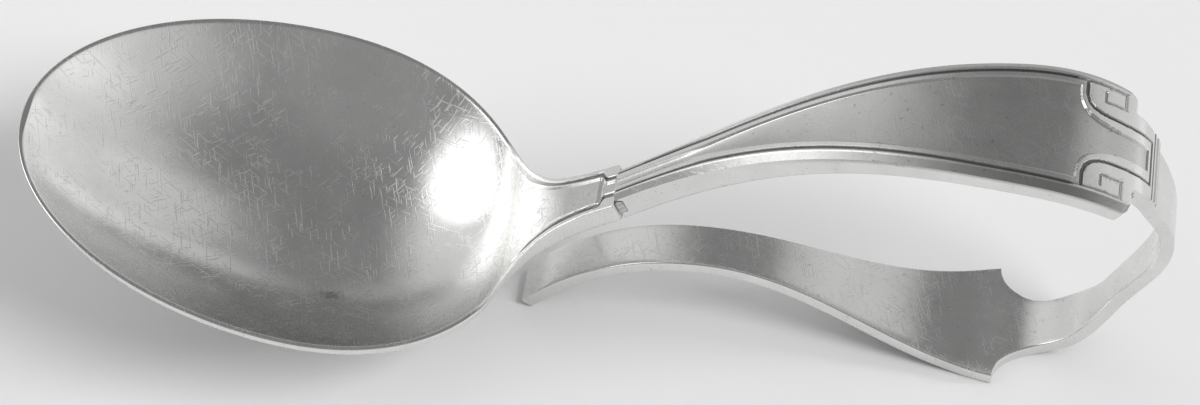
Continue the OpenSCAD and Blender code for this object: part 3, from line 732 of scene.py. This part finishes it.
def strap_rows():
    """Place, height, heading and half width along the strap's outer face."""
    out = []

    def run_of(p, q, n, width, start=1, inset=0.0):
        for i in range(start, n + 1):
            t = i / n
            x, z, a = station(p, q, t)
            out.append((x + inset * math.sin(a), z - inset * math.cos(a), a, width(t, x)))

    # Under the tongue, round the bend and down to the narrowest place
    side, end = TONGUE_WIDTH / 2, TONGUE_END_WIDTH / 2
    run_of(LOBE_END, TONGUE_END, 12, lambda t, x: mix(side, end, t), 0, TONGUE_GAUGE)
    x, z, a, _ = out[-1]
    bend_from = (x, z, math.degrees(a))
    run_of(bend_from, APEX, 30,
           lambda t, x: mix(TONGUE_END_WIDTH, BEND_WIDTH, float(smooth(t))) / 2)
    run_of(APEX, NARROW, 26,
           lambda t, x: mix(BEND_WIDTH, STRAP_NARROW, math.sin(math.pi / 2 * t)) / 2)
    run_of(NARROW, REST_FAR, 48, heel_half)
    # Flat on the table, where the flare is widest
    for u in (0.2, 0.35, 0.5, 0.62, 0.72, 0.82, 0.88, 0.94, 0.98, 1.0):
        x = mix(REST_FAR[0], FLARE_X, u)
        out.append((x, 0.0, -math.pi, fillet_half(x)))
    for u in (0.5, 1.0):
        x = mix(FLARE_X, REST_NEAR[0], u)
        out.append((x, 0.0, -math.pi, flare_half(FLARE_AT_REST * u)))
    # Up over the saddle, and down to the tail
    run_of(REST_NEAR, SADDLE, 70, lambda t, x: flare_half(mix(FLARE_AT_REST, 1.0, t)))
    run_of(SADDLE, TAIL, 40, lambda t, x: mix(SADDLE_WIDTH, TAIL_WIDTH, t) / 2)
    return out


def strap_skin():
    """Rows of the strap, from under the tongue to the tail, and how much darker each point is
    drawn.
    """
    rows = []
    g, r = STRAP_GAUGE, STRAP_ROUND
    for x, z, a, half in strap_rows():
        flat = half - r
        points = [(flat * s, 0.0) for s in FACE_SHARES]
        points += [(flat + r * math.sin(b), r * (1 - math.cos(b)))
                   for b in np.radians([22, 45, 68, 90])]
        points += [(half, mix(r, g - r, s)) for s in (0.33, 0.67)]
        points += [(flat + r * math.cos(b), g - r * (1 - math.sin(b)))
                   for b in np.radians([0, 22, 45, 68, 90])]
        points += [(flat * s, g) for s in (0.8, 0.6, 0.4, 0.2, 0.0)]
        across, down = np.array(points).T
        rows.append((x, z, a, across, down))
    # The tail's end is cut square, with its edges just broken
    x, z, a, across, down = rows[-1]
    rows[-1] = (x, z, a, across * 0.985, mix(g / 2, down, 0.94))
    rows = np.array([sunk(x, across, z, down, a) for x, z, a, across, down in rows])
    at, height = rows[:, 0, 0], rows[:, 0, 2]
    darkening = (FLARE_DARKENING * smooth((at - DULL_START) / (DULL_FULL - DULL_START))
            * smooth((DARKEN_GONE - at) / (DARKEN_GONE - DULL_END)) * (height < DARKEN_TOP))
    on_face = np.arange(rows.shape[1]) < len(FACE_SHARES)
    return rows, darkening[:, None] * on_face


# ---- the studio: floor, lights, the cards that the metal sees, and the photo's camera ----

FLOOR_SIZE = 6.0
# Azimuth and height of the two suns, in degrees
LOW_LIGHT, HIGH_LIGHT = (5.8, 15.0), (-16.0, 43.0)
# The soft fill is strongest from FILL_FROM, at FILL_PEAK times its property, and falls to nothing
# where the cosine of the angle to it is FILL_END
FILL_FROM, FILL_PEAK, FILL_END = (140, 50), 1.9, -0.2
# The metal sees the horizon's brightness fade out up to this sine of the height
HORIZON_TOP = 0.32
# Each card's azimuth and height, how far from its middle it ends and is full, all in degrees,
# and its strength
CARDS = [
    (-170, 42, 31, 6, 2.0),
    (156, 38, 44, 10, 0.55),
    (-22, 10, 42, 6, 0.5),
    (12, 12, 38, 6, 0.45),
    (31, 26, 28, 8, 0.12),
    (47, 31, 16, 6, 0.32),
    (38, 9, 14, 5, 0.22),
    (64, 8, 24, 6, 0.45),
    (108, 18, 26, 8, 0.15),
    (-88, 30, 50, 12, 0.08),
]
# The camera's place in millimetres, and its axes
CAMERA_AT = (37.070, -168.217, 245.269)
CAMERA_RIGHT = Vector((0.98845, 0.14254, -0.05157))
CAMERA_DOWN = Vector((0.08453, -0.80076, -0.59299))
CAMERA_AHEAD = Vector((-0.12582, 0.58178, -0.80355))
CAMERA_LENS, SENSOR_WIDTH = 108.0, 36.0


def direction(azimuth, height):
    a, h = math.radians(azimuth), math.radians(height)
    return Vector((math.cos(a) * math.cos(h), math.sin(a) * math.cos(h), math.sin(h)))


def add_floor(look):
    deselect_all()
    bpy.ops.mesh.primitive_plane_add(size=FLOOR_SIZE, location=(0, 0, 0))
    floor = active_object()
    floor.name = "floor"
    floor.data.materials.append(matt_board(look))


def add_sun(name, place, strength, softness):
    """A light that makes shadows on the floor. The metal shows the studio's cards in its place."""
    towards = direction(*place)
    bpy.ops.object.light_add(type="SUN", location=towards)
    lamp = active_object()
    lamp.name = name
    lamp.data.energy = strength
    lamp.data.angle = softness
    lamp.rotation_euler = towards.to_track_quat("Z", "Y").to_euler()
    lamp.visible_glossy = False


def studio_world(light):
    """Soft light for the floor and all matt things, and a room with bright cards for the metal."""
    world = bpy.data.worlds.new("studio")
    world.use_nodes = True
    tree = world.node_tree
    tree.nodes.clear()
    way = add_node(tree, "ShaderNodeTexCoord").outputs["Generated"]
    height = add_node(tree, "ShaderNodeSeparateXYZ", links={0: way}).outputs["Z"]
    total = add_node(tree, "ShaderNodeMapRange", {"interpolation_type": "SMOOTHSTEP"},
                     {1: 0.0, 2: HORIZON_TOP, 3: light.room + light.horizon, 4: light.room},
                     {0: height}).outputs[0]
    for azimuth, up, wide, narrow, strength in CARDS:
        facing = add_node(tree, "ShaderNodeVectorMath", {"operation": "DOT_PRODUCT"},
                          {1: direction(azimuth, up)}, {0: way}).outputs["Value"]
        card = add_node(tree, "ShaderNodeMapRange", {"interpolation_type": "SMOOTHSTEP"},
                        {1: math.cos(math.radians(wide)), 2: math.cos(math.radians(narrow)),
                         3: 0.0, 4: strength}, {0: facing}).outputs[0]
        total = add_node(tree, "ShaderNodeMath", {"operation": "ADD"},
                         links={0: total, 1: card}).outputs[0]
    cards = add_node(tree, "ShaderNodeBackground", links={"Color": total})
    facing = add_node(tree, "ShaderNodeVectorMath", {"operation": "DOT_PRODUCT"},
                      {1: direction(*FILL_FROM)}, {0: way}).outputs["Value"]
    level = add_node(tree, "ShaderNodeMapRange",
                     values={1: FILL_END, 2: 1.0, 3: 0.0, 4: FILL_PEAK * light.fill},
                     links={0: facing}).outputs[0]
    soft = add_node(tree, "ShaderNodeBackground", links={"Color": level})
    seen = add_node(tree, "ShaderNodeLightPath").outputs["Is Glossy Ray"]
    both = add_node(tree, "ShaderNodeMixShader",
                    links={0: seen, 1: soft.outputs[0], 2: cards.outputs[0]})
    add_node(tree, "ShaderNodeOutputWorld", links={"Surface": both.outputs[0]})
    return world


def photo_camera():
    axes = Matrix((CAMERA_RIGHT, -CAMERA_DOWN, -CAMERA_AHEAD)).transposed().to_4x4()
    bpy.ops.object.camera_add()
    camera = active_object()
    camera.name = "camera"
    camera.matrix_world = Matrix.Translation(Vector(CAMERA_AT) * MM) @ axes
    camera.data.lens = CAMERA_LENS
    camera.data.sensor_fit = "HORIZONTAL"
    camera.data.sensor_width = SENSOR_WIDTH
    camera.data.clip_start = 0.01
    return camera


# ---- properties, operators and panel ----

class SpoonLook(bpy.types.PropertyGroup):
    silver_colour: bpy.props.StringProperty(
        name="Silver", description="Colour of the polished silver", default="#E9E9E8")
    silver_shade: bpy.props.StringProperty(
        name="Silver, dulled", description="Colour where the polish has dulled", default="#DCDCDB")
    # The tarnish colour is also the colour that painted shade on the handle darkens towards
    tarnish_and_shade_colour: bpy.props.StringProperty(
        name="Tarnish", description="Colour of the tarnish in struck lines", default="#3E3D3C")
    solder_colour: bpy.props.StringProperty(
        name="Solder", description="Colour of the solder", default="#D2D2D1")
    solder_shade: bpy.props.StringProperty(
        name="Solder, dulled", description="Colour of the solder's tarnish", default="#8B8B8A")
    floor_colour: bpy.props.StringProperty(
        name="Floor", description="Colour of the floor", default="#F5F5F5")
    # Scales the tarnish in struck lines together with the painted shade carried with it
    tarnish: bpy.props.FloatProperty(
        name="Tarnish in lines", description="How dark the struck lines are",
        default=0.74, min=0, max=1, subtype="FACTOR")
    polish: bpy.props.FloatProperty(
        name="Blur", description="Roughness of the polish",
        default=0.2, min=0.05, max=0.6, subtype="FACTOR")


class SpoonLight(bpy.types.PropertyGroup):
    key: bpy.props.FloatProperty(
        name="Low light", description="Strength of the low light from the right",
        default=1.05, min=0)
    key_softness: bpy.props.FloatProperty(
        name="Low light's softness", description="Angle that it covers",
        default=math.radians(9), subtype="ANGLE")
    high: bpy.props.FloatProperty(
        name="High light", description="Strength of the high light from the right",
        default=1.55, min=0)
    high_softness: bpy.props.FloatProperty(
        name="High light's softness", description="Angle that it covers",
        default=math.radians(26), subtype="ANGLE")
    fill: bpy.props.FloatProperty(
        name="Fill", description="Soft light, mostly from behind on the left",
        default=0.42, min=0)
    room: bpy.props.FloatProperty(
        name="Room", description="How bright the metal sees the room", default=0.23, min=0)
    horizon: bpy.props.FloatProperty(
        name="Horizon", description="How much brighter the metal sees the horizon",
        default=0.35, min=0)


class SPOON_OT_bowl(bpy.types.Operator):
    """Build the forged bowl and its shank"""
    bl_idname = "spoon.bowl"
    bl_label = "Bowl and shank"

    def execute(self, context):
        silver = old_silver("sterling_silver_forged_and_worn", context.scene.spoon_look,
                            scratch=1.6, dimple=0.6, stained=True)
        piece = half_skin("bowl_and_shank", *bowl_skin())
        finish_piece(piece, "bowl", silver)
        return {"FINISHED"}


class SPOON_OT_handle(bpy.types.Operator):
    """Build the die-struck handle with its tongue"""
    bl_idname = "spoon.handle"
    bl_label = "Struck handle"

    def execute(self, context):
        silver = old_silver("sterling_silver_die_struck", context.scene.spoon_look, scratch=0.7)
        piece = half_skin("struck_handle", *handle_skin())
        finish_piece(piece, "handle", silver, angle=28.0)
        return {"FINISHED"}


class SPOON_OT_strap(bpy.types.Operator):
    """Build the strap of the loop"""
    bl_idname = "spoon.strap"
    bl_label = "Loop strap"

    def execute(self, context):
        silver = old_silver("sterling_silver_rolled_strap", context.scene.spoon_look)
        piece = half_skin("loop_strap_bent", *strap_skin())
        finish_piece(piece, "loop_strap", silver)
        return {"FINISHED"}


class SPOON_OT_solder(bpy.types.Operator):
    """Dress the solder fillets"""
    bl_idname = "spoon.solder"
    bl_label = "Solder"

    def execute(self, context):
        material = silver_solder(context.scene.spoon_look)
        for name in ("shoulder_solder", "tip_solder"):
            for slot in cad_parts[name].material_slots:
                slot.material = material
        return {"FINISHED"}


class SPOON_OT_stage(bpy.types.Operator):
    """Build the floor, the lights and the camera"""
    bl_idname = "spoon.stage"
    bl_label = "Stage"

    def execute(self, context):
        light = context.scene.spoon_light
        add_floor(context.scene.spoon_look)
        add_sun("low_light_right", LOW_LIGHT, light.key, light.key_softness)
        add_sun("high_light_right", HIGH_LIGHT, light.high, light.high_softness)
        context.scene.world = studio_world(light)
        context.scene.camera = photo_camera()
        context.scene.view_settings.view_transform = "Standard"
        return {"FINISHED"}


PIECES = (SPOON_OT_bowl, SPOON_OT_handle, SPOON_OT_strap, SPOON_OT_solder, SPOON_OT_stage)


class SPOON_PT_sidebar(bpy.types.Panel):
    """Lists the spoon's looks and its pieces"""
    bl_idname = "SPOON_PT_sidebar"
    bl_label = "Baby spoon"
    bl_space_type = "VIEW_3D"
    bl_region_type = "UI"
    bl_category = "Spoon"

    def draw(self, context):
        for group in (context.scene.spoon_look, context.scene.spoon_light):
            for name in group.__annotations__:
                self.layout.prop(group, name)
        for piece in PIECES:
            self.layout.operator(piece.bl_idname)


CLASSES = (SpoonLook, SpoonLight, *PIECES, SPOON_PT_sidebar)


def register():
    for item in CLASSES:
        bpy.utils.register_class(item)
    bpy.types.Scene.spoon_look = bpy.props.PointerProperty(type=SpoonLook)
    bpy.types.Scene.spoon_light = bpy.props.PointerProperty(type=SpoonLight)


def unregister():
    del bpy.types.Scene.spoon_light
    del bpy.types.Scene.spoon_look
    for item in reversed(CLASSES):
        bpy.utils.unregister_class(item)


def main():
    register()
    bpy.ops.spoon.bowl()
    bpy.ops.spoon.handle()
    bpy.ops.spoon.strap()
    bpy.ops.spoon.solder()
    bpy.ops.spoon.stage()


if __name__ == "__main__":
    main()
